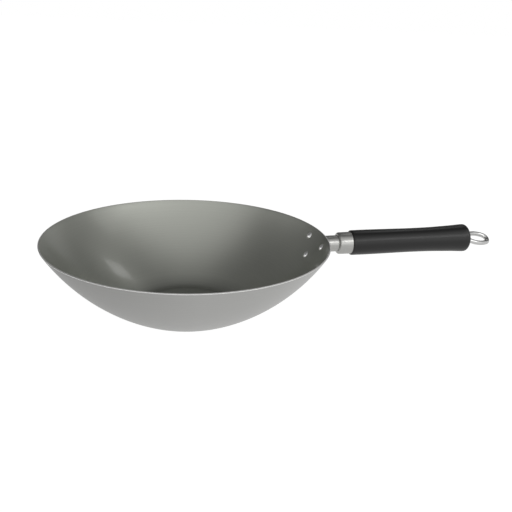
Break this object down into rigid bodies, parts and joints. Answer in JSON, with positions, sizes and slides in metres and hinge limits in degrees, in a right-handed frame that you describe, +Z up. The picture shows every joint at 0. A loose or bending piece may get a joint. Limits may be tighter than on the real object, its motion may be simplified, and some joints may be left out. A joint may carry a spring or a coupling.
{
  "type": "carbon steel wok",
  "caption": "Flat-bottomed steel wok with a riveted long handle: hollow neck, steel ferrule, black moulded grip and a wire hanging loop.",
  "frame": {"origin": "centre of the flat base's underside", "axes": "+Z up out of the bowl, +X along the handle"},
  "size_m": [0.5251, 0.3096, 0.0876],
  "materials": {
    "bowl_steel": "satin, brushed round the axis",
    "bracket_steel": "matt, bead blasted",
    "rivet_steel": "bright",
    "plug_steel": "zinc plated",
    "ferrule_steel": "matt",
    "grip_phenolic": "satin moulded phenolic",
    "loop_chrome": "bright plated"
  },
  "bodies": {
    "root": {"bowl": "bowl_steel", "handle_bracket": "bracket_steel", "rivets": "rivet_steel", "neck_plug": "plug_steel", "ferrule": "ferrule_steel", "grip": "grip_phenolic", "end_washer": "plug_steel", "loop_rod": "loop_chrome"}
  },
  "joints": []
}
